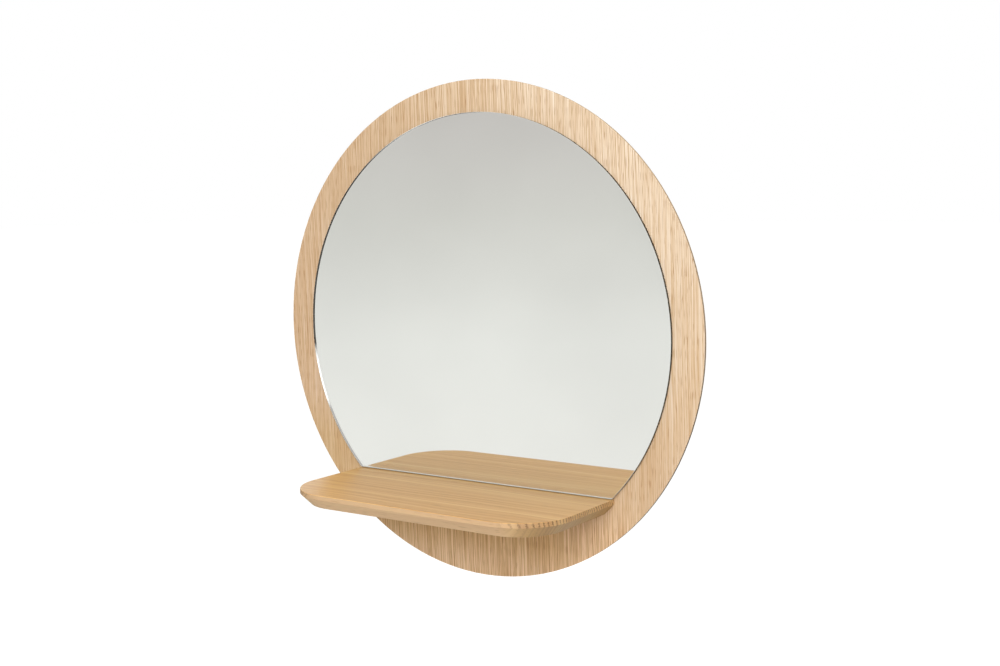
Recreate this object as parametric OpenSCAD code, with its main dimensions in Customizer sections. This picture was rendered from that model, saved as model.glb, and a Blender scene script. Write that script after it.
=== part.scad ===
// Round wall mirror with a small shelf.
// A veneered disc carries a round glass, cut off straight along the bottom, and a solid oak shelf below it.
// Millimetres. +Z is up and the mirror faces -Y. The wall is the plane y = 0.
// The origin lies midway between the two keyhole hangers, at the height where the wall screws enter them.

/* [Disc] */
// Diameter of the disc's face
disc_d = 480; // [440:1:560]
// Thickness of the finished disc, with its veneers
panel_t = 18; // [16:0.5:25]
// Thickness of each veneer
veneer_t = 0.6; // [0.5:0.1:0.9]
// Height of the square edge behind the disc's face
edge_band = 3; // [2:0.5:5]
// Angle between the face and the undercut behind the square edge
edge_angle = 45; // [40:1:60]
// Small bevel sanded on the veneer's edge
face_ease = 0.25; // [0.1:0.05:0.4]

/* [Glass] */
// Width of veneer that shows around the glass
rim_w = 31; // [24:1:40]
// Thickness of the glass
glass_t = 3; // [3:0.5:5]
// Width of the polished arris round both faces of the glass
glass_arris = 0.2; // [0.1:0.1:0.8]
// Thickness of the silvering and its backing paint
backing_t = 0.1; // [0.05:0.05:0.2]
// Distance that the backing stops short of the glass's arris
backing_margin = 0.1; // [0.05:0.05:1]
// Gap between the straight edge of the glass and the shelf's top
glass_gap = 0.4; // [0.3:0.1:2]

/* [Tape] */
// Thickness of the double-sided tape behind the glass
tape_t = 0.7; // [0.5:0.1:1.5]
// Width of one strip of tape
tape_w = 25; // [12:1:30]
// Number of strips
tape_count = 5; // [3:1:6]
// Length of the two outermost strips
tape_short_l = 150; // [100:1:200]
// Distance kept between the tape and the glass's edge
tape_margin = 14; // [8:1:20]

/* [Shelf] */
// Width of the shelf
shelf_w = 298; // [260:1:320]
// Distance that the shelf stands out of the disc's face
shelf_depth = 128; // [100:1:160]
// Thickness of the shelf
shelf_t = 15; // [14:0.5:20]
// Distance from the disc's centre down to the shelf's top
shelf_drop = 148; // [135:1:160]
// Radius of the shelf's front corners
shelf_corner_r = 52; // [30:1:65]
// Height of the square edge above the shelf's undercut
shelf_band = 4.5; // [3:0.5:6]
// Angle between the shelf's top and its undercut
shelf_angle = 45; // [40:1:55]
// Radius of the sanded arrises round the shelf's edge
shelf_ease = 0.7; // [0.3:0.1:1.2]

/* [Shelf fixings] */
// Diameter of the dowels
dowel_d = 8; // [6:1:8]
// Length of the dowels
dowel_l = 30; // [25:1:35]
// Depth of the dowels in the disc
dowel_in_disc = 12; // [8:0.5:13]
// Distance between the two dowels
dowel_spacing = 120; // [90:1:160]
// Bevel on the dowels' ends
dowel_bevel = 1; // [0.5:0.1:1.5]
// Diameter of the shelf screws
shelf_screw_d = 4; // [3.5:0.5:4.5]
// Diameter of the shelf screws' heads
shelf_screw_head_d = 8; // [7:0.5:9]
// Length of the shelf screws, with the head
shelf_screw_l = 50; // [40:1:60]
// Number of shelf screws
shelf_screw_count = 3; // [2:1:3]
// Distance between the outermost shelf screws
shelf_screw_span = 210; // [190:1:230]

/* [Hangers] */
// Distance between the two keyhole hangers
hanger_spacing = 200; // [150:1:230]
// Height of the keyhole entries above the disc's centre
hanger_rise = 140; // [110:1:150]
// Width of a hanger plate
plate_w = 18; // [16:0.5:22]
// Height of a hanger plate
plate_h = 50; // [48:1:60]
// Thickness of a hanger plate
plate_t = 2; // [1.5:0.5:3]
// Diameter of the keyhole's entry
entry_d = 10; // [9:0.5:11]
// Width of the keyhole's slot
slot_w = 5; // [4.5:0.5:6]
// Distance from the entry's centre up to the centre of the slot's end
slot_l = 9; // [8:0.5:10]
// Distance from the plate's centre down to the entry's centre
entry_drop = 4; // [3.5:0.5:5]
// Width of the pocket that takes the wall screw's head
pocket_w = 13; // [12:0.5:14]
// Depth of that pocket behind the plate
pocket_depth = 9; // [7:0.5:11]
// Diameter of the hanger screws
hanger_screw_d = 3; // [2.5:0.5:3.5]
// Diameter of the hanger screws' heads
hanger_screw_head_d = 6; // [5.5:0.5:6.5]
// Length of the hanger screws, with the head
hanger_screw_l = 12; // [10:1:13]

/* [Fits] */
// Gap all round a dowel or a screw in its hole
hole_clear = 0.05; // [0.03:0.01:0.1]
// Gap between the end of a dowel or a screw and the bottom of its hole
end_clear = 1; // [0.5:0.1:2]
// Gap between a hanger plate and the edge of its recess
plate_clear = 0.2; // [0.1:0.05:0.4]
// Extra diameter of the disc's holes for the shelf screws
screw_slack = 0.6; // [0.3:0.1:1]

/* [Hidden] */

disc_r = disc_d / 2;
glass_r = disc_r - rim_w;
centre_z = -hanger_rise;

// planes from the wall outwards
face_y = -panel_t;
band_y = face_y + edge_band;
backing_y = face_y - tape_t;
glass_back_y = backing_y - backing_t;
glass_front_y = glass_back_y - glass_t;
shelf_front_y = face_y - shelf_depth;

shelf_top_z = centre_z - shelf_drop;
shelf_mid_z = shelf_top_z - shelf_t / 2;
glass_foot_z = shelf_top_z + glass_gap;
shelf_inset = (shelf_t - shelf_band) / tan(shelf_angle);

plate_z = entry_drop;
plate_screw_rise = (plate_h - plate_w) / 2;
screw_angle = 90; // included angle of the countersunk heads
// cross recess and point of the screws, as shares of the head and of the shank
recess_reach = 0.3; // from the middle to an arm's end, over the head's diameter
recess_slit = 0.15; // an arm's width, over the head's diameter
recess_deep = 0.7;  // the recess's depth, over the head's height
tip_w = 0.25;       // the point's diameter, over the shank's
over = 1;           // how far a cutter runs past the face that it cuts
round_fn = 180;
hole_fn = 48;
arc_steps = 4;

dowel_xs = [-dowel_spacing / 2, dowel_spacing / 2];
shelf_screw_xs = [for (i = [0 : shelf_screw_count - 1])
    shelf_screw_span * (i / (shelf_screw_count - 1) - 0.5)];
hanger_xs = [-hanger_spacing / 2, hanger_spacing / 2];

// the tape keeps to a circle inside the glass, and the outermost strips reach as far out as their length allows
tape_r = glass_r - tape_margin;
tape_span = 2 * sqrt(pow(tape_r, 2) - pow(tape_short_l / 2, 2)) - tape_w;
tape_xs = [for (i = [0 : tape_count - 1]) tape_span * (i / (tape_count - 1) - 0.5)];

// radius of the disc's edge at a distance y from the wall plane
function edge_r(y) = disc_r - max(0, y - band_y) / tan(edge_angle);

// points of a quarter round from angle a to angle b
function arc(c, r, a, b) = [for (i = [0 : arc_steps])
    c + r * [cos(a + (b - a) * i / arc_steps), sin(a + (b - a) * i / arc_steps)]];

// points and their mirror images about x = 0, as one loop
function both_sides(pts) = concat(pts, [for (i = [len(pts) - 1 : -1 : 0]) [-pts[i][0], pts[i][1]]]);

// a profile of [radius, y] turned about the disc's axis
module turned(profile) {
    translate([0, 0, centre_z])
        rotate([-90, 0, 0])
            rotate_extrude($fn = round_fn)
                polygon(profile);
}

// a straight round hole or bar along Y
module bar_y(d, y0, y1) {
    translate([0, y0, 0])
        rotate([-90, 0, 0])
            cylinder(d = d, h = y1 - y0, $fn = hole_fn);
}

// a slot with round ends, upright, centred on z = 0
module upright_slot(w, h, y0, y1) {
    translate([0, y1, 0])
        rotate([90, 0, 0])
            linear_extrude(y1 - y0) {
                square([w, h - w], center = true);
                for (s = [-1, 1])
                    translate([0, s * (h - w) / 2])
                        circle(d = w, $fn = hole_fn);
            }
}

// a thin disc from y0 to y1, cut off straight at its foot, with an arris of the given width along the cut
module cut_disc(profile, y0, y1, foot, arris) {
    rise = arris > 0 ? arris + over : 0;
    difference() {
        turned(profile);
        translate([-disc_r, 0, foot])
            rotate([90, 0, 90])
                linear_extrude(disc_d)
                    polygon([[y0 - over, rise], [y0 + arris, 0], [y1 - arris, 0], [y1 + over, rise],
                             [y1 + over, -disc_r], [y0 - over, -disc_r]]);
    }
}

// ---- countersunk screw along Y, its head at y = 0 and its point towards -Y ----

function head_depth(d, head_d) = (head_d - d) / 2 / tan(screw_angle / 2);

module countersunk_screw(d, head_d, length) {
    head_h = head_depth(d, head_d);
    arm = recess_reach * head_d;
    slit = recess_slit * head_d;
    difference() {
        rotate([90, 0, 0])
            union() {
                cylinder(d1 = head_d, d2 = d, h = head_h, $fn = hole_fn);
                cylinder(d = d, h = length - d, $fn = hole_fn);
                translate([0, 0, length - d])
                    cylinder(d1 = d, d2 = tip_w * d, h = d, $fn = hole_fn);
            }
        // cross recess
        for (a = [0, 90])
            rotate([0, a, 0])
                translate([-arm, -recess_deep * head_h, -slit / 2])
                    cube([2 * arm, recess_deep * head_h + over, slit]);
    }
}

// the hole for such a screw: a countersink, then a straight bore
module screw_hole(d, head_d, length) {
    head_h = head_depth(d, head_d);
    mouth_d = head_d + 2 * over * tan(screw_angle / 2);
    bar_y(d + 2 * hole_clear, -length, over);
    rotate([90, 0, 0])
        translate([0, 0, -over])
            cylinder(d1 = mouth_d + 2 * hole_clear, d2 = d + 2 * hole_clear, h = head_h + over, $fn = hole_fn);
}

// ---- places of the fixings ----

module at_dowels() {
    for (x = dowel_xs)
        translate([x, face_y, shelf_mid_z])
            children();
}

module at_shelf_screws() {
    for (x = shelf_screw_xs)
        translate([x, 0, shelf_mid_z])
            children();
}

module at_hangers() {
    for (x = hanger_xs)
        translate([x, 0, plate_z])
            children();
}

module at_hanger_screws() {
    at_hangers()
        for (s = [-1, 1])
            translate([0, 0, s * plate_screw_rise])
                children();
}

// ---- holes that several pieces share ----

module dowel_holes() {
    at_dowels()
        bar_y(dowel_d + 2 * hole_clear, dowel_in_disc - dowel_l - end_clear, dowel_in_disc + end_clear);
}

module shelf_screw_holes() {
    at_shelf_screws()
        screw_hole(shelf_screw_d + screw_slack, shelf_screw_head_d + screw_slack, panel_t + over);
}

module hanger_recesses() {
    at_hangers() {
        upright_slot(plate_w + 2 * plate_clear, plate_h + 2 * plate_clear, -plate_t, over);
        translate([0, 0, slot_l / 2 - entry_drop])
            upright_slot(pocket_w, slot_l + pocket_w, -plate_t - pocket_depth, over);
    }
}

// ---- disc ----

module panel_core() {
    core_front = face_y + veneer_t;
    core_rear = -veneer_t;
    color("peru")
        difference() {
            turned([[0, core_front], [disc_r, core_front], [disc_r, band_y],
                    [edge_r(core_rear), core_rear], [0, core_rear]]);
            dowel_holes();
            shelf_screw_holes();
            hanger_recesses();
            at_hanger_screws()
                bar_y(hanger_screw_d + 2 * hole_clear, -hanger_screw_l - end_clear, over);
        }
}

module front_veneer() {
    color("burlywood")
        difference() {
            turned([[0, face_y], [disc_r - face_ease, face_y], [disc_r, face_y + face_ease],
                    [disc_r, face_y + veneer_t], [0, face_y + veneer_t]]);
            dowel_holes();
            shelf_screw_holes();
        }
}

module back_veneer() {
    color("tan")
        difference() {
            turned([[0, -veneer_t], [edge_r(-veneer_t), -veneer_t], [edge_r(0), 0], [0, 0]]);
            shelf_screw_holes();
            hanger_recesses();
        }
}

// ---- glass ----

module mirror_glass() {
    a = glass_arris;
    color("lightblue", 0.5)
        cut_disc([[0, glass_front_y], [glass_r - a, glass_front_y], [glass_r, glass_front_y + a],
                  [glass_r, glass_back_y - a], [glass_r - a, glass_back_y], [0, glass_back_y]],
                 glass_front_y, glass_back_y, glass_foot_z, a);
}

module silver_backing() {
    inset = glass_arris + backing_margin;
    r = glass_r - inset;
    color("silver")
        cut_disc([[0, glass_back_y], [r, glass_back_y], [r, backing_y], [0, backing_y]],
                 glass_back_y, backing_y, glass_foot_z + inset, 0);
}

// upright strips, each as long as the glass allows at its place
module mounting_tape() {
    color("dimgray")
        for (x = tape_xs) {
            half = sqrt(pow(tape_r, 2) - pow(abs(x) + tape_w / 2, 2));
            foot = max(centre_z - half, glass_foot_z + tape_margin);
            translate([x - tape_w / 2, backing_y, foot])
                cube([tape_w, tape_t, centre_z + half - foot]);
        }
}

// ---- shelf ----

// section across the shelf's edge: x runs from the edge inwards to back, y up from the underside
function shelf_edge(back) = concat(
    [[back, 0]],
    arc([shelf_inset + shelf_ease * tan(shelf_angle / 2), shelf_ease], shelf_ease, -90, -90 - shelf_angle),
    [[0, shelf_t - shelf_band]],
    arc([shelf_ease, shelf_t - shelf_ease], shelf_ease, 180, 90),
    [[back, shelf_t]]);

module shelf() {
    r = shelf_corner_r;
    half = shelf_w / 2;
    run = shelf_depth - r;
    color("peru")
        difference() {
            translate([0, 0, shelf_top_z - shelf_t]) {
                // both sides and what lies between them
                translate([0, face_y, 0])
                    rotate([90, 0, 0])
                        linear_extrude(run)
                            polygon(both_sides([for (p = shelf_edge(r)) [p[0] - half, p[1]]]));
                // front edge between the corners
                translate([half - r, shelf_front_y, 0])
                    rotate([90, 0, -90])
                        linear_extrude(2 * (half - r))
                            polygon([for (p = shelf_edge(r)) [-p[0], p[1]]]);
                // round corners
                for (s = [-1, 1])
                    translate([s * (half - r), shelf_front_y + r, 0])
                        rotate([0, 0, s > 0 ? -90 : 180])
                            rotate_extrude(angle = 90, $fn = round_fn)
                                polygon([for (p = shelf_edge(r)) [r - p[0], p[1]]]);
            }
            dowel_holes();
            at_shelf_screws()
                bar_y(shelf_screw_d + 2 * hole_clear, -shelf_screw_l - end_clear, 0);
        }
}

module shelf_dowels() {
    b = dowel_bevel;
    color("wheat")
        at_dowels()
            translate([0, dowel_in_disc, 0])
                rotate([90, 0, 0])
                    rotate_extrude($fn = hole_fn)
                        polygon([[0, 0], [dowel_d / 2 - b, 0], [dowel_d / 2, b], [dowel_d / 2, dowel_l - b],
                                 [dowel_d / 2 - b, dowel_l], [0, dowel_l]]);
}

module shelf_screws() {
    color("silver")
        at_shelf_screws()
            countersunk_screw(shelf_screw_d, shelf_screw_head_d, shelf_screw_l);
}

// ---- hangers ----

module keyhole_plates() {
    color("lightgray")
        difference() {
            at_hangers()
                upright_slot(plate_w, plate_h, -plate_t, 0);
            at_hangers()
                translate([0, 0, -entry_drop]) {
                    bar_y(entry_d, -plate_t - over, over);
                    translate([-slot_w / 2, -plate_t - over, 0])
                        cube([slot_w, plate_t + 2 * over, slot_l]);
                    translate([0, 0, slot_l])
                        bar_y(slot_w, -plate_t - over, over);
                }
            at_hanger_screws()
                screw_hole(hanger_screw_d, hanger_screw_head_d, plate_t + over);
        }
}

module hanger_screws() {
    color("gray")
        at_hanger_screws()
            countersunk_screw(hanger_screw_d, hanger_screw_head_d, hanger_screw_l);
}

panel_core();
front_veneer();
back_veneer();
mirror_glass();
silver_backing();
mounting_tape();
shelf();
shelf_dowels();
shelf_screws();
keyhole_plates();
hanger_screws();
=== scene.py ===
import math

import bpy
import bmesh
from mathutils import Matrix, Vector


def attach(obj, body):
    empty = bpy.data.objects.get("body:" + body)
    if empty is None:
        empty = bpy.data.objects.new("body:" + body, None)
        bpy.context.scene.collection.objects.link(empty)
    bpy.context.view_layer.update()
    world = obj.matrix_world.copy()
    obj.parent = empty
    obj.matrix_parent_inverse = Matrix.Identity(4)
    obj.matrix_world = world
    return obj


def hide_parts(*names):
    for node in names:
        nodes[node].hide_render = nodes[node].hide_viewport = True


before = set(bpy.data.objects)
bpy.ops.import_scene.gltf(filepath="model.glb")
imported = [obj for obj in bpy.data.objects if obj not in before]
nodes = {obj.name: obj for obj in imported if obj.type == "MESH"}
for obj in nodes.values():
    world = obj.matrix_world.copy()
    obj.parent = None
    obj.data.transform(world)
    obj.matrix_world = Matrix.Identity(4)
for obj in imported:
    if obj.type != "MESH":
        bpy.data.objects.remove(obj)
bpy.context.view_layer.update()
scene = bpy.context.scene
scene.view_settings.view_transform = "Standard"
mm = 0.001
print("frame loaded,", len(nodes), "nodes")


def linear(hexColour):
    # sRGB hex to the linear colour that a shader takes
    parts = [int(hexColour[i:i + 2], 16) / 255 for i in (1, 3, 5)]
    return tuple(c / 12.92 if c <= 0.04045 else ((c + 0.055) / 1.055) ** 2.4 for c in parts) + (1,)


def addNode(tree, kind, inputs=None, **settings):
    # adds a node, sets its options, and gives each input a value or a link; hidden sockets are passed over
    node = tree.nodes.new("ShaderNode" + kind)
    for name, value in settings.items():
        setattr(node, name, value)
    for name, value in (inputs or {}).items():
        socket = node.inputs[name] if isinstance(name, int) else next(
            s for s in node.inputs if s.name == name and s.enabled)
        if isinstance(value, bpy.types.Node):
            value = next(s for s in value.outputs if s.enabled)
        if isinstance(value, bpy.types.NodeSocket):
            tree.links.new(value, socket)
        else:
            socket.default_value = value
    return node


def ramp(tree, value, stops):
    # a colour ramp over value, each stop with its place and sRGB hex
    node = addNode(tree, "ValToRGB", {0: value})
    points = node.color_ramp.elements
    while len(points) < len(stops):
        points.new(0.5)
    for point, (place, colour) in zip(points, stops):
        point.position = place
        point.color = linear(colour)
    return node


def rise(tree, value, span, low=0.0, high=1.0):
    # low before the first end of span, high past the second, and a straight line between them
    return addNode(tree, "MapRange", {"Value": value, "From Min": span[0], "From Max": span[1], "To Min": low,
                                      "To Max": high})


def product(tree, first, *others):
    for other in others:
        first = addNode(tree, "Math", {0: first, 1: other}, operation="MULTIPLY")
    return first


def blend(tree, share, colour, other):
    # from colour, where share is 0, to the other, where it is 1
    return addNode(tree, "Mix", {0: share, "A": colour, "B": other}, data_type="RGBA")


def tint(tree, share, colour, tone):
    # colour times tone, as far as share goes
    return addNode(tree, "Mix", {0: share, "A": colour, "B": tone}, data_type="RGBA", blend_type="MULTIPLY")


def noise(tree, place, detail):
    return addNode(tree, "TexNoise", {"Vector": place, "Scale": 1, "Detail": detail})


def newMaterial(name):
    material = bpy.data.materials.new(name)
    material.use_nodes = True
    material.node_tree.nodes.clear()
    return material, material.node_tree


def finishMaterial(tree, surface, volume=None):
    output = addNode(tree, "OutputMaterial", {"Surface": surface})
    if volume:
        tree.links.new(volume.outputs[0], output.inputs["Volume"])


def finishSurface(tree, look, colour, **more):
    # ends a material in a plain surface as its look says; more adds to that or takes its place
    finishMaterial(tree, addNode(tree, "BsdfPrincipled", {
        "Base Color": colour, "Roughness": look["roughness"], "IOR": look["ior"], **more}))


def raised(tree, look, height):
    # tilts the surface as if height stood out of it, by the look's relief in mm
    return addNode(tree, "Bump", {"Height": height, "Strength": look["bump"], "Distance": look["relief"] * mm})


def inMillimetres(tree):
    # the place on the object, in millimetres
    place = addNode(tree, "TexCoord")
    return addNode(tree, "VectorMath", {0: place.outputs["Object"], "Scale": 1 / mm}, operation="SCALE")


def inSteps(tree, size):
    # the place on the object, in steps of size millimetres
    return addNode(tree, "VectorMath", {0: inMillimetres(tree), "Scale": 1 / size}, operation="SCALE")


def split(tree, vector):
    # the parts of a vector along x, y and z
    return addNode(tree, "SeparateXYZ", {0: vector}).outputs


def facing(tree):
    # which way the surface looks, by x, y and z
    return split(tree, addNode(tree, "TexCoord").outputs["Normal"])


# the camera stands where the picture was taken from: to the right, a little above the middle
cameraSetup = {
    "place": (772.1, -1114.6, 1.6),  # mm
    "yaw": 34.27,                    # degrees to the left of straight on
    "pitch": 6.115,                  # degrees down
    "roll": -0.78,
    "focal": 1398,                   # pixels
    "width": 1000,                   # pixels, of the picture
    "sensor": 36,                    # mm
}


def makeCamera():
    yaw, pitch, roll = (math.radians(cameraSetup[k]) for k in ("yaw", "pitch", "roll"))
    forward = Vector((-math.sin(yaw) * math.cos(pitch), math.cos(yaw) * math.cos(pitch), -math.sin(pitch)))
    level = Vector((math.cos(yaw), math.sin(yaw), 0))
    upright = level.cross(forward)
    right = math.cos(roll) * level + math.sin(roll) * upright
    up = -math.sin(roll) * level + math.cos(roll) * upright
    data = bpy.data.cameras.new("camera")
    data.sensor_width = cameraSetup["sensor"]
    data.lens = cameraSetup["focal"] * cameraSetup["sensor"] / cameraSetup["width"]
    camera = bpy.data.objects.new("camera", data)
    turn = Matrix((right, up, -forward)).transposed().to_4x4()
    camera.matrix_world = Matrix.Translation(Vector(cameraSetup["place"]) * mm) @ turn
    scene.collection.objects.link(camera)
    scene.camera = camera


makeCamera()
print("camera set")

# the studio: floor, soft light from above and two softboxes
studio = {
    "floorZ": -1000,       # mm
    "floorSize": 60000,
    "floorColour": "#BCBCBA",
    "floorGlow": 0.72,     # lifts the floor to white where it shows, and leaves the shadow
    "skySide": 0.0,        # strength of the soft light from above, at the horizon and straight overhead
    "skyTop": 1.0,
    "skyColour": "#FFFDFA",
    "lampColour": "#FBFCFF",
    # softboxes: place, size in mm and watts; the second one lights the back
    "lamps": {"key": ((884, -1755, 647), (1200, 1400), 40), "fill": ((-700, 1500, 800), (1300, 1300), 20)},
    "lampAim": -140,       # mm, the height of the disc's centre
}


def seenRays(tree):
    # 1 for the rays that show the background: from the camera, off gloss or through glass
    path = addNode(tree, "LightPath")
    shown = addNode(tree, "Math", {0: path.outputs["Is Camera Ray"], 1: path.outputs["Is Glossy Ray"]},
                    operation="MAXIMUM")
    return addNode(tree, "Math", {0: shown, 1: path.outputs["Is Transmission Ray"]}, operation="MAXIMUM")


def makeFloor():
    half = studio["floorSize"] / 2 * mm
    z = studio["floorZ"] * mm
    mesh = bpy.data.meshes.new("floor")
    mesh.from_pydata([(-half, -half, z), (half, -half, z), (half, half, z), (-half, half, z)], [], [(0, 1, 2, 3)])
    floor = bpy.data.objects.new("floor", mesh)
    scene.collection.objects.link(floor)
    material, tree = newMaterial("floor paint, matt and pale")
    paint = addNode(tree, "BsdfDiffuse", {"Color": linear(studio["floorColour"])})
    light = addNode(tree, "Emission", {"Color": (1, 1, 1, 1),
                                       "Strength": product(tree, seenRays(tree), studio["floorGlow"])})
    finishMaterial(tree, addNode(tree, "AddShader", {0: paint, 1: light}))
    mesh.materials.append(material)


def makeWorld():
    world = bpy.data.worlds.new("studio")
    scene.world = world
    world.use_nodes = True
    tree = world.node_tree
    tree.nodes.clear()
    way = split(tree, addNode(tree, "TexCoord").outputs["Generated"])
    strength = rise(tree, way["Z"], (0, 1), studio["skySide"], studio["skyTop"])
    soft = addNode(tree, "Background", {"Color": linear(studio["skyColour"]), "Strength": strength})
    white = addNode(tree, "Background", {"Color": (1, 1, 1, 1), "Strength": 1})
    both = addNode(tree, "MixShader", {0: seenRays(tree), 1: soft, 2: white})
    addNode(tree, "OutputWorld", {"Surface": both})


def makeLamps():
    for name, (spot, size, power) in studio["lamps"].items():
        data = bpy.data.lights.new(name, "AREA")
        data.shape = "RECTANGLE"
        data.size, data.size_y = (s * mm for s in size)
        data.energy = power
        data.color = linear(studio["lampColour"])[:3]
        lamp = bpy.data.objects.new(name, data)
        place = Vector(spot) * mm
        lamp.location = place
        lamp.rotation_mode = "QUATERNION"
        lamp.rotation_quaternion = (Vector((0, 0, studio["lampAim"] * mm)) - place).to_track_quat("-Z", "Y")
        lamp.visible_glossy = lamp.visible_transmission = False
        scene.collection.objects.link(lamp)


# the paper in front of the mirror, seen only in reflections: a curved sweep, pale at the foot and greyer above
paper = {
    "inner": 300,         # mm, the radius where its foot begins
    "radius": 3200,
    "foot": -998,         # just above the floor
    "top": 3600,
    "bend": 1200,         # the radius of the bend from foot to wall
    "bendSteps": 12,
    "arc": (-200, 220),   # degrees, where it starts and how far it runs; the middle of it is in front
    "arcSteps": 48,
    "toneSpan": (-1000, 800),
    "tones": [(0.0, "#F8F7F4"), (0.28, "#F1F1EE"), (0.5, "#DBDAD6"), (0.7, "#CECAC8"), (1.0, "#C2BDBA")],
    "cloudWidth": 500,    # it isn't lit quite evenly
    "cloudTones": [(0.35, "#F9F9F9"), (0.65, "#FFFFFF")],
    # painted reflections, shown only to rays after two reflections, by mm to the right and up: a painted dark patch
    # below, which paints the dark line in the glass's cut edge, and a painted bright patch above, which paints the
    # pale line there
    "edgeShadeColour": "#281F15",
    "edgeShadeRight": (-1200, -300),
    "edgeShadeUnder": (60, -60),
    "edgeGlintStrength": 1.5,
    "edgeGlintRight": (-500, 250),
    "edgeGlintOver": (60, 250),
    "edgeGlintUnder": (1230, 1000),
}


def makePaper():
    radius, foot, bend = paper["radius"], paper["foot"], paper["bend"]
    profile = [(paper["inner"], foot), (radius - bend, foot)]
    for i in range(1, paper["bendSteps"] + 1):
        a = math.radians(90) * i / paper["bendSteps"]
        profile.append((radius - bend + bend * math.sin(a), foot + bend - bend * math.cos(a)))
    profile.append((radius, paper["top"]))
    turns, n = paper["arcSteps"], len(profile)
    start, sweep = paper["arc"]
    verts, faces = [], []
    for i in range(turns + 1):
        angle = math.radians(start + sweep * i / turns)
        verts += [(r * math.cos(angle) * mm, r * math.sin(angle) * mm, z * mm) for r, z in profile]
    for i in range(turns):
        for j in range(n - 1):
            a = i * n + j
            faces.append((a, a + 1, a + n + 1, a + n))
    mesh = bpy.data.meshes.new("surround")
    mesh.from_pydata(verts, [], faces)
    surround = bpy.data.objects.new("surround", mesh)
    scene.collection.objects.link(surround)
    surround.visible_camera = surround.visible_diffuse = surround.visible_shadow = False
    material, tree = newMaterial("studio paper, grey")
    place = split(tree, inMillimetres(tree))
    x, z = place["X"], place["Z"]
    tone = ramp(tree, rise(tree, z, paper["toneSpan"]), paper["tones"])
    cloud = ramp(tree, noise(tree, inSteps(tree, paper["cloudWidth"]), 2), paper["cloudTones"])
    uneven = tint(tree, 1.0, tone, cloud)
    # the cut edge of the glass and the silver behind it form a square corner, which throws light back by two
    # reflections and shows as a thin line; the plain mirror, with one reflection, shows the paper. To rays after
    # two reflections the paper shows a painted dark patch and a painted glowing bright patch, which paint that line
    # dark and pale in the glass's edge
    twice = addNode(tree, "Math", {0: addNode(tree, "LightPath").outputs["Glossy Depth"], 1: 2.0, 2: 0.1},
                    operation="COMPARE")
    # painted reflection: a dark patch, shown only after two reflections, that paints the dark line in the glass's
    # edge
    dark = product(tree, rise(tree, x, paper["edgeShadeRight"]), rise(tree, z, paper["edgeShadeUnder"]), twice)
    shaded = blend(tree, dark, uneven, linear(paper["edgeShadeColour"]))
    # painted reflection: a bright patch that glows brighter than white, shown only after two reflections, that
    # paints the pale line in the glass's edge
    paintedGlint = product(tree, rise(tree, x, paper["edgeGlintRight"]), rise(tree, z, paper["edgeGlintOver"]),
                  rise(tree, z, paper["edgeGlintUnder"]), twice)
    lit = blend(tree, paintedGlint, shaded, (paper["edgeGlintStrength"],) * 3 + (1,))
    finishMaterial(tree, addNode(tree, "Emission", {"Color": lit, "Strength": 1}))
    mesh.materials.append(material)


makeFloor()
makeWorld()
makeLamps()
makePaper()
print("studio set")


# Oak veneer, sliced rift cut, sanded, matt lacquer: close straight lines with open pores, and hardly any shine.
veneerLook = {
    "lean": 0.017,        # sideways drift of the grain for each mm of height
    "waver": (90, 170),   # mm, across and along: how far apart the grain's slow swings lie
    "swing": 4,           # mm, how far they go to either side
    # noise drawn out along the grain: width and length in mm, seed and detail. Lines are growth rings, bands the
    # slow changes of tone; real pores are 0.2 to 0.3 mm wide, drawn wider so that they show
    "noises": {"lines": (1.05, 300, 9, 1), "fine": (0.6, 60, 37, 1), "bands": (18, 900, 11, 1),
               "pores": (0.8, 12, 23, 0)},
    "fineShare": 0.5,
    "tones": [(0.34, "#CBAA84"), (0.46, "#DEC5A5"), (0.56, "#E8D5BD"), (0.68, "#F0E3D4")],
    "bandTones": [(0.30, "#FAF6F1"), (0.70, "#FFFFFF")],
    # painted light across the whole leaf, by x plus z in mm: painted shade from the lower left, where it is darkest
    # and warmest, to the upper right, where it is palest as under the strongest light
    "leafSpan": (-342, 170),
    "paintedLightTones": [(0.0, "#F2E6D9"), (0.5, "#ECE1D3"), (0.8, "#F6F0E8"), (1.0, "#FEFEFE")],
    # low down on the face, by z: the lines are stronger, and at the left the leaf is paler and more golden; the
    # paler, more golden tone is painted light, the warm light that the shelf throws back into its shadow
    "faceSpan": (0.5, -0.5),  # how far the surface looks to the rear, 1 being straight that way
    "lowSpan": (-290, -320),
    "lowLeft": (0.45, 0.15),  # on the leaf's own span
    "paintedBounceTone": "#FFF5E6",
    "lowPaintedLightShare": 0.25,     # how much of the painted light's tone is left there
    "lineTones": [(0.40, "#DCD3C5"), (0.58, "#FFFFFF")],
    "lineGain": 1.125,        # keeps the leaf as light as it was between the stronger lines
    # towards the top the lines are stronger too, but less; half-way up they are faint
    "highSpan": (-120, 40),
    "highShare": 0.45,
    # painted shade beside the shelf on the left and right under it: the face darker and more golden, where the
    # shelf shades it and throws warm light back: by x, by z from above and below
    "shelfShadeTone": "#F5F1E0",
    "shelfShadeRight": (110, 80),
    "shelfShadeTop": (-215, -260),
    "shelfShadeFoot": (-366, -342),
    "poreTone": "#A87E52",
    "poreShare": 0.6,
    "poreSpan": (0.57, 0.69),   # where in its noise a pore opens, and where it is fully open
    "earlySpan": (0.62, 0.46),  # where in the lines: only in the early wood
    "roughness": (0.58, 0.44),  # in the early and in the late wood
    "ior": 1.32,                # an open, matt finish gives back less light than a filled one
    "relief": 0.08,             # mm
    "bump": 0.3,                # how much of the relief is taken
}


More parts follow.
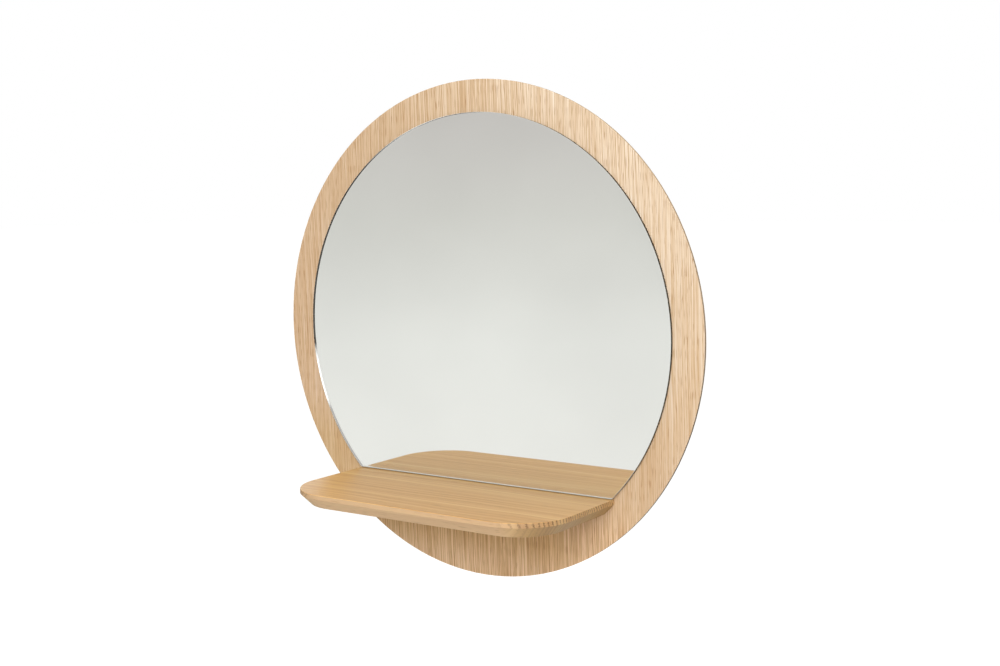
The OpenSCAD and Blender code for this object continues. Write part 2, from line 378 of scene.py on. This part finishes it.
def makeOakVeneer():
    look = veneerLook
    material, tree = newMaterial("oak veneer, sliced and matt lacquered")
    place = inMillimetres(tree)
    apart = split(tree, place)
    x, z = apart["X"], apart["Z"]
    slow = addNode(tree, "VectorMath", {0: place, 1: (1 / look["waver"][0], 0, 1 / look["waver"][1])},
                   operation="MULTIPLY")
    swing = rise(tree, noise(tree, slow, 1), (0, 1), -look["swing"], look["swing"])
    leaning = addNode(tree, "Math", {0: z, 1: look["lean"], 2: x}, operation="MULTIPLY_ADD")
    side = addNode(tree, "Math", {0: leaning, 1: swing}, operation="ADD")
    drawn = {}
    for name, (width, length, seed, detail) in look["noises"].items():
        across = addNode(tree, "Math", {0: side, 1: width}, operation="DIVIDE")
        along = addNode(tree, "Math", {0: z, 1: length}, operation="DIVIDE")
        drawn[name] = noise(tree, addNode(tree, "CombineXYZ", {"X": across, "Y": seed, "Z": along}), detail)
    grain = addNode(tree, "Mix", {0: look["fineShare"], "A": drawn["lines"], "B": drawn["fine"]})
    banded = tint(tree, 1.0, ramp(tree, grain, look["tones"]), ramp(tree, drawn["bands"], look["bandTones"]))
    leaf = rise(tree, addNode(tree, "Math", {0: z, 1: side}, operation="ADD"), look["leafSpan"])
    face = rise(tree, facing(tree)["Y"], look["faceSpan"])
    low = rise(tree, z, look["lowSpan"], 0.0, face)
    lowLeft = product(tree, low, rise(tree, leaf, look["lowLeft"]))
    paintedLightShare = rise(tree, lowLeft, (0, 1), 1.0, look["lowPaintedLightShare"])
    # painted shade and light: the leaf darker at the lower left and paler at the upper right
    paintedLightLeaf = tint(tree, paintedLightShare, banded, ramp(tree, leaf, look["paintedLightTones"]))
    # painted light: a golden tint low down at the left, for the warm light off the shelf
    golden = tint(tree, lowLeft, paintedLightLeaf, linear(look["paintedBounceTone"]))
    deepLines = addNode(tree, "VectorMath", {0: ramp(tree, grain, look["lineTones"]), "Scale": look["lineGain"]},
                        operation="SCALE")
    high = rise(tree, z, look["highSpan"], 0.0, look["highShare"])
    lined = tint(tree, addNode(tree, "Math", {0: low, 1: high}, operation="MAXIMUM"), golden, deepLines)
    near = product(tree, face, rise(tree, x, look["shelfShadeRight"]), rise(tree, z, look["shelfShadeTop"]),
                   rise(tree, z, look["shelfShadeFoot"]))
    # painted shade and warm light next to and under the shelf
    yellowedAndShaded = tint(tree, near, lined, linear(look["shelfShadeTone"]))
    pore = product(tree, rise(tree, drawn["pores"], look["poreSpan"]),
                   rise(tree, drawn["lines"], look["earlySpan"]))
    colour = blend(tree, product(tree, pore, look["poreShare"]), yellowedAndShaded, linear(look["poreTone"]))
    deep = addNode(tree, "Math", {0: pore, 1: -1.0, 2: grain}, operation="MULTIPLY_ADD")
    finishSurface(tree, look, colour, Roughness=rise(tree, grain, (0, 1), *look["roughness"]),
                  Normal=raised(tree, look, deep))
    return material


# Solid oak, planed and oiled: warmer than the veneer, soft lines from left to right, satin sheen. The ends and
# the round corners soak up more oil and are darker, and the cut growth rings show there as short dark teeth.
shelfLook = {
    "slope": 20,          # degrees that the growth rings lean away from upright
    "waver": (150, 45, 30),  # mm along x, y and z: how far apart the rings' slow swings lie
    "swing": 5,           # mm
    # noise drawn out along the board: width across the rings, thickness along them and length in mm, seed and
    # detail; real pores are 0.3 mm wide, drawn wider so that they show
    "noises": {"rings": (3.2, 400, 320, 0, 2), "bands": (17, 60, 800, 11, 1), "pores": (0.7, 0.98, 14, 23, 1)},
    "tones": [(0.30, "#DCAE72"), (0.45, "#E5B97B"), (0.55, "#EBC283"), (0.70, "#F3CF93")],
    "bandTones": [(0.30, "#F5EEE5"), (0.70, "#FFFFFF")],
    # the sides below are told apart by how far the surface looks up, down or sideways, 1 being straight that way
    "topTone": "#FDF9F1",     # the planed top has yellowed most
    "topSpan": (0.5, 0.9),
    "underLightTone": "#E2C19D",   # painted light: the undercut paler, as if lit more from below
    "underLightShare": 0.5,
    "underSpan": (-0.2, -0.6),
    "sawnShadeTone": "#CCAA84",    # the upright band along the grain, sawn: duller and pinker than the planed top, and darker, which is painted shade
    "sawnShare": 0.8,
    "sawnLevel": (0.5, 0.1),
    "sawnSideways": (0.95, 0.25),
    "endTone": "#E0DDE1",     # the ends and the round corners
    "endSpan": (0.3, 0.6),
    "underEndShadeTone": "#EAE3BF",  # the undercut there: darker and yellower, which is painted shade
    "underEndSpan": (0.1, 0.5),
    # one dark tooth for each ring
    "toothTone": "#6C5032",
    "toothWidth": 3.3,        # mm from one tooth to the next
    "toothJitter": 5,         # how far the pores push it about, in radians
    "toothSpan": (0.35, 0.95),
    "toothSideways": (0.1, 0.7),
    "toothFoot": (-294, -291),  # mm, round the foot of the upright band: below it the teeth are faint
    "toothShare": (0.3, 0.85),
    "poreTone": "#8F6539",
    "poreShare": 0.4,
    "poreSpan": (0.60, 0.74),
    "earlySpan": (0.58, 0.44),
    "roughness": (0.37, 0.25),  # of the planed top, in the early and in the late wood
    "sawnRoughness": 0.3,       # what the sawn sides have more
    "sawnFrom": (0.9, 0.5),
    "ior": 1.5,
    "relief": 0.08,             # mm
    "bump": 0.3,
}


def makeSolidOak():
    look = shelfLook
    material, tree = newMaterial("solid oak, planed and oiled")
    place = inMillimetres(tree)
    apart = split(tree, place)
    slope = math.radians(look["slope"])
    slow = addNode(tree, "VectorMath", {0: place, 1: tuple(1 / w for w in look["waver"])}, operation="MULTIPLY")
    swing = rise(tree, noise(tree, slow, 1), (0, 1), -look["swing"], look["swing"])
    fromPith = addNode(tree, "VectorMath", {0: place, 1: (0, math.cos(slope), math.sin(slope))},
                       operation="DOT_PRODUCT").outputs["Value"]
    acrossRings = addNode(tree, "Math", {0: fromPith, 1: swing}, operation="ADD")
    alongRings = addNode(tree, "VectorMath", {0: place, 1: (0, -math.sin(slope), math.cos(slope))},
                         operation="DOT_PRODUCT").outputs["Value"]
    drawn = {}
    for name, (width, thick, length, seed, detail) in look["noises"].items():
        a = addNode(tree, "Math", {0: acrossRings, 1: width}, operation="DIVIDE")
        b = addNode(tree, "Math", {0: alongRings, 1: 1 / thick, 2: seed}, operation="MULTIPLY_ADD")
        c = addNode(tree, "Math", {0: apart["X"], 1: length}, operation="DIVIDE")
        drawn[name] = noise(tree, addNode(tree, "CombineXYZ", {"X": a, "Y": b, "Z": c}), detail)
    looks = facing(tree)
    up = looks["Z"]
    sideways = addNode(tree, "Math", {0: looks["X"]}, operation="ABSOLUTE")
    level = addNode(tree, "Math", {0: up}, operation="ABSOLUTE")
    banded = tint(tree, 1.0, ramp(tree, drawn["rings"], look["tones"]),
                  ramp(tree, drawn["bands"], look["bandTones"]))
    yellowedAndShaded = tint(tree, rise(tree, up, look["topSpan"]), banded, linear(look["topTone"]))
    # painted light on the undercut: paler than the lamps make it
    underLit = blend(tree, rise(tree, up, look["underSpan"], 0.0, look["underLightShare"]), yellowedAndShaded,
                linear(look["underLightTone"]))
    sawn = product(tree, rise(tree, level, look["sawnLevel"]), rise(tree, sideways, look["sawnSideways"]),
                   look["sawnShare"])
    # painted shade: the upright band darker than the lamps make it, and duller
    sawnShaded = blend(tree, sawn, underLit, linear(look["sawnShadeTone"]))
    ended = tint(tree, rise(tree, sideways, look["endSpan"]), sawnShaded, linear(look["endTone"]))
    underEnd = product(tree, rise(tree, up, look["underSpan"]), rise(tree, sideways, look["underEndSpan"]))
    # painted shade on the undercut at the ends and round corners
    oiled = tint(tree, underEnd, ended, linear(look["underEndShadeTone"]))
    turn = product(tree, acrossRings, 2 * math.pi / look["toothWidth"])
    uneven = addNode(tree, "Math", {0: drawn["pores"], 1: look["toothJitter"], 2: turn}, operation="MULTIPLY_ADD")
    wave = addNode(tree, "Math", {0: uneven}, operation="SINE")
    tooth = product(tree, rise(tree, wave, look["toothSpan"]),
                    rise(tree, apart["Z"], look["toothFoot"], *look["toothShare"]),
                    rise(tree, sideways, look["toothSideways"]))
    toothed = blend(tree, tooth, oiled, linear(look["toothTone"]))
    pore = product(tree, rise(tree, drawn["pores"], look["poreSpan"]),
                   rise(tree, drawn["rings"], look["earlySpan"]))
    colour = blend(tree, product(tree, pore, look["poreShare"]), toothed, linear(look["poreTone"]))
    deep = addNode(tree, "Math", {0: pore, 1: -1.0, 2: drawn["rings"]}, operation="MULTIPLY_ADD")
    planed = rise(tree, drawn["rings"], (0, 1), *look["roughness"])
    rougher = rise(tree, up, look["sawnFrom"], 0.0, look["sawnRoughness"])
    rough = addNode(tree, "Math", {0: planed, 1: rougher}, operation="ADD")
    finishSurface(tree, look, colour, Roughness=rough, Normal=raised(tree, look, deep))
    return material


# Medium-density fibreboard, turned and oiled: brown, even, with fine fibre specks and no grain.
boardLook = {
    "fibre": 0.5,         # mm
    "tones": [(0.3, "#6C5239"), (0.7, "#8A6C4F")],
    # painted light on the narrow lip in front of the slope: painted shade low down and a painted highlight high up
    "lipSpan": (-14.2, -15.2),  # mm, from the rear forwards
    "paintedLipTone": "#4E3A29",
    "lipHighlightTone": "#BEA27F",
    "lipLightSpan": (-270, 0),     # mm, by height
    "roughness": 0.65,
    "ior": 1.5,
    "relief": 0.05,       # mm
    "bump": 0.25,
}


def makeFibreboard():
    look = boardLook
    material, tree = newMaterial("fibreboard, oiled edge")
    fibres = noise(tree, inSteps(tree, look["fibre"]), 3)
    place = split(tree, inMillimetres(tree))
    # painted light: the lip dark low down and pale high up, by height
    paintedLipTone = blend(tree, rise(tree, place["Z"], look["lipLightSpan"]), linear(look["paintedLipTone"]),
                    linear(look["lipHighlightTone"]))
    oiled = blend(tree, rise(tree, place["Y"], look["lipSpan"]), ramp(tree, fibres, look["tones"]), paintedLipTone)
    finishSurface(tree, look, oiled, Normal=raised(tree, look, fibres))
    return material


# Beech, turned into dowels: pale pink brown with short dark flecks along the length.
beechLook = {
    "flecks": (0.5, 2.5, 0.5),  # mm along x, y and z
    "tones": [(0.35, "#B98A62"), (0.55, "#DDB892")],
    "roughness": 0.6,
    "ior": 1.5,
}


def makeBeech():
    look = beechLook
    material, tree = newMaterial("beech, turned")
    spot = addNode(tree, "VectorMath", {0: inMillimetres(tree), 1: tuple(1 / w for w in look["flecks"])},
                   operation="MULTIPLY")
    finishSurface(tree, look, ramp(tree, noise(tree, spot, 2), look["tones"]))
    return material


# Float glass, 3 mm: clear from the front, dark green along the long way through its edge.
glassLook = {
    "ior": 1.52,
    "tint": "#A8DCC0",
    "density": 7,         # per metre
}


def makeFloatGlass():
    look = glassLook
    material, tree = newMaterial("float glass, polished")
    surface = addNode(tree, "BsdfPrincipled", {"Base Color": (1, 1, 1, 1), "Roughness": 0, "IOR": look["ior"],
                                               "Transmission Weight": 1})
    volume = addNode(tree, "VolumeAbsorption", {"Color": linear(look["tint"]), "Density": look["density"]})
    finishMaterial(tree, surface, volume)
    return material


# Silver, laid on the rear of the glass: a clean mirror, a touch warm.
silverLook = {
    "colour": "#F6F6F4",
    "roughness": 0,
}


def makeSilver():
    look = silverLook
    material, tree = newMaterial("silver, deposited on glass")
    finishMaterial(tree, addNode(tree, "BsdfPrincipled", {"Base Color": linear(look["colour"]), "Metallic": 1,
                                                          "Roughness": look["roughness"]}))
    return material


# Backing paint, curtain coated and baked: smooth flat grey.
paintLook = {
    "cloud": 2,           # mm
    "tones": [(0.3, "#6E7072"), (0.7, "#7B7D7F")],
    "roughness": 0.45,
    "ior": 1.5,
}


def makeBackingPaint():
    look = paintLook
    material, tree = newMaterial("backing paint, baked")
    finishSurface(tree, look, ramp(tree, noise(tree, inSteps(tree, look["cloud"]), 2), look["tones"]))
    return material


# Foam tape, closed cell: matt dark grey with fine bubbles.
tapeLook = {
    "cell": 0.4,          # mm
    "tones": [(0.1, "#2B2B2B"), (0.7, "#3A3A39")],
    "roughness": 0.85,
    "ior": 1.5,
    "relief": 0.05,       # mm
    "bump": 0.4,
}


def makeFoamTape():
    look = tapeLook
    material, tree = newMaterial("polyethylene foam tape")
    cells = addNode(tree, "TexVoronoi", {"Vector": inSteps(tree, look["cell"]), "Scale": 1}).outputs["Distance"]
    finishSurface(tree, look, ramp(tree, cells, look["tones"]), Normal=raised(tree, look, cells))
    return material


# Steel, stamped or turned, bright zinc plated: light grey metal, satin, slightly cloudy.
zincLook = {
    "cloud": 3.0,         # mm
    "tones": [(0.3, "#A3A7AE"), (0.5, "#B6B9BC"), (0.7, "#C4C2B9")],
    "roughness": (0.2, 0.42),  # across the clouds
    "scratches": 6,       # for each mm
    "relief": 0.02,       # mm
    "bump": 0.12,
}


def makeZincPlate():
    look = zincLook
    material, tree = newMaterial("steel, bright zinc plated")
    cloud = noise(tree, inSteps(tree, look["cloud"]), 3)
    fine = addNode(tree, "TexNoise", {"Vector": inMillimetres(tree), "Scale": look["scratches"], "Detail": 1})
    rough = rise(tree, cloud, (0, 1), *look["roughness"])
    finishMaterial(tree, addNode(tree, "BsdfPrincipled", {
        "Base Color": ramp(tree, cloud, look["tones"]), "Metallic": 1, "Roughness": rough,
        "Normal": raised(tree, look, fine)}))
    return material


veneer = makeOakVeneer()
zincPlate = makeZincPlate()
finishes = {
    "front_veneer": veneer,
    "back_veneer": veneer,
    "panel_core": makeFibreboard(),
    "shelf": makeSolidOak(),
    "shelf_dowels": makeBeech(),
    "shelf_screws": zincPlate,
    "hanger_screws": zincPlate,
    "keyhole_plates": zincPlate,
    "mounting_tape": makeFoamTape(),
}
for node, material in finishes.items():
    for materialSlot in nodes[node].material_slots:
        materialSlot.material = material
print("materials made")


# the mirror: a polished glass, and the silver with its paint on the rear
paneSize = {
    "centreZ": -140,      # mm
    "radius": 209,
    "foot": -147.2,       # straight cut, below the centre; 0.4 mm short of the solid, for the dark line under it
    "front": -21.8,       # depths, the wall being at 0
    "rear": -18.8,
    "silverRear": -18.7,
    "arris": 0.2,         # at the front alone, because silver and paint run on over the one at the rear
    "footArris": 5,       # times as wide along the straight foot, where it shows as a pale line
    "silverMargin": 0.01,  # how far the silver stays inside the outline
    "sink": 0.02,         # the silver lies this far inside the glass, so that no two faces share a plane
    "arcSteps": 240,
    "footSteps": 24,
    "sharp": 20,          # degrees: edges that turn more than this stay sharp
}


def outline(inset, y):
    # the cut circle, drawn in by inset, as a loop of points at depth y
    radius, foot = paneSize["radius"] - inset, paneSize["foot"] + inset * paneSize["footArris"]
    start = math.acos(-foot / radius)
    loop = []
    for i in range(paneSize["arcSteps"] + 1):
        a = start + (2 * math.pi - 2 * start) * i / paneSize["arcSteps"]
        loop.append((radius * math.sin(a), y, -radius * math.cos(a)))
    half = radius * math.sin(start)
    for i in range(1, paneSize["footSteps"]):
        loop.append((-half + 2 * half * i / paneSize["footSteps"], y, foot))
    return [Vector((x, y, z + paneSize["centreZ"])) * mm for x, y, z in loop]


def makePane(name, rings, materials):
    # a closed pane through the rings, the first at the front and the last at the rear; the front has the first
    # material, the rest the last
    mesh = bpy.data.meshes.new(name)
    work = bmesh.new()
    loops = [[work.verts.new(p) for p in outline(inset, y)] for inset, y in rings]
    count, last = len(loops[0]), len(materials) - 1
    work.faces.new(loops[0])
    work.faces.new(reversed(loops[-1])).material_index = last
    for near, far in zip(loops, loops[1:]):
        for i in range(count):
            j = (i + 1) % count
            face = work.faces.new((near[j], near[i], far[i], far[j]))
            face.material_index = last
            face.smooth = True
    bmesh.ops.recalc_face_normals(work, faces=work.faces)
    for edge in work.edges:
        edge.smooth = edge.calc_face_angle(0) < math.radians(paneSize["sharp"])
    work.to_mesh(mesh)
    work.free()
    for material in materials:
        mesh.materials.append(material)
    pane = bpy.data.objects.new(name, mesh)
    scene.collection.objects.link(pane)
    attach(pane, "root")
    return pane


arris, front, rear = paneSize["arris"], paneSize["front"], paneSize["rear"]
glass = makePane("polishedGlass", [(arris, front), (0, front + arris), (0, rear)], [makeFloatGlass()])
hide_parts("mirror_glass")
margin = paneSize["silverMargin"]
silver = makePane("silverLayer", [(margin, rear - paneSize["sink"]), (margin, paneSize["silverRear"])],
                  [makeSilver(), makeBackingPaint()])
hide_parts("silver_backing")
print("mirror built")
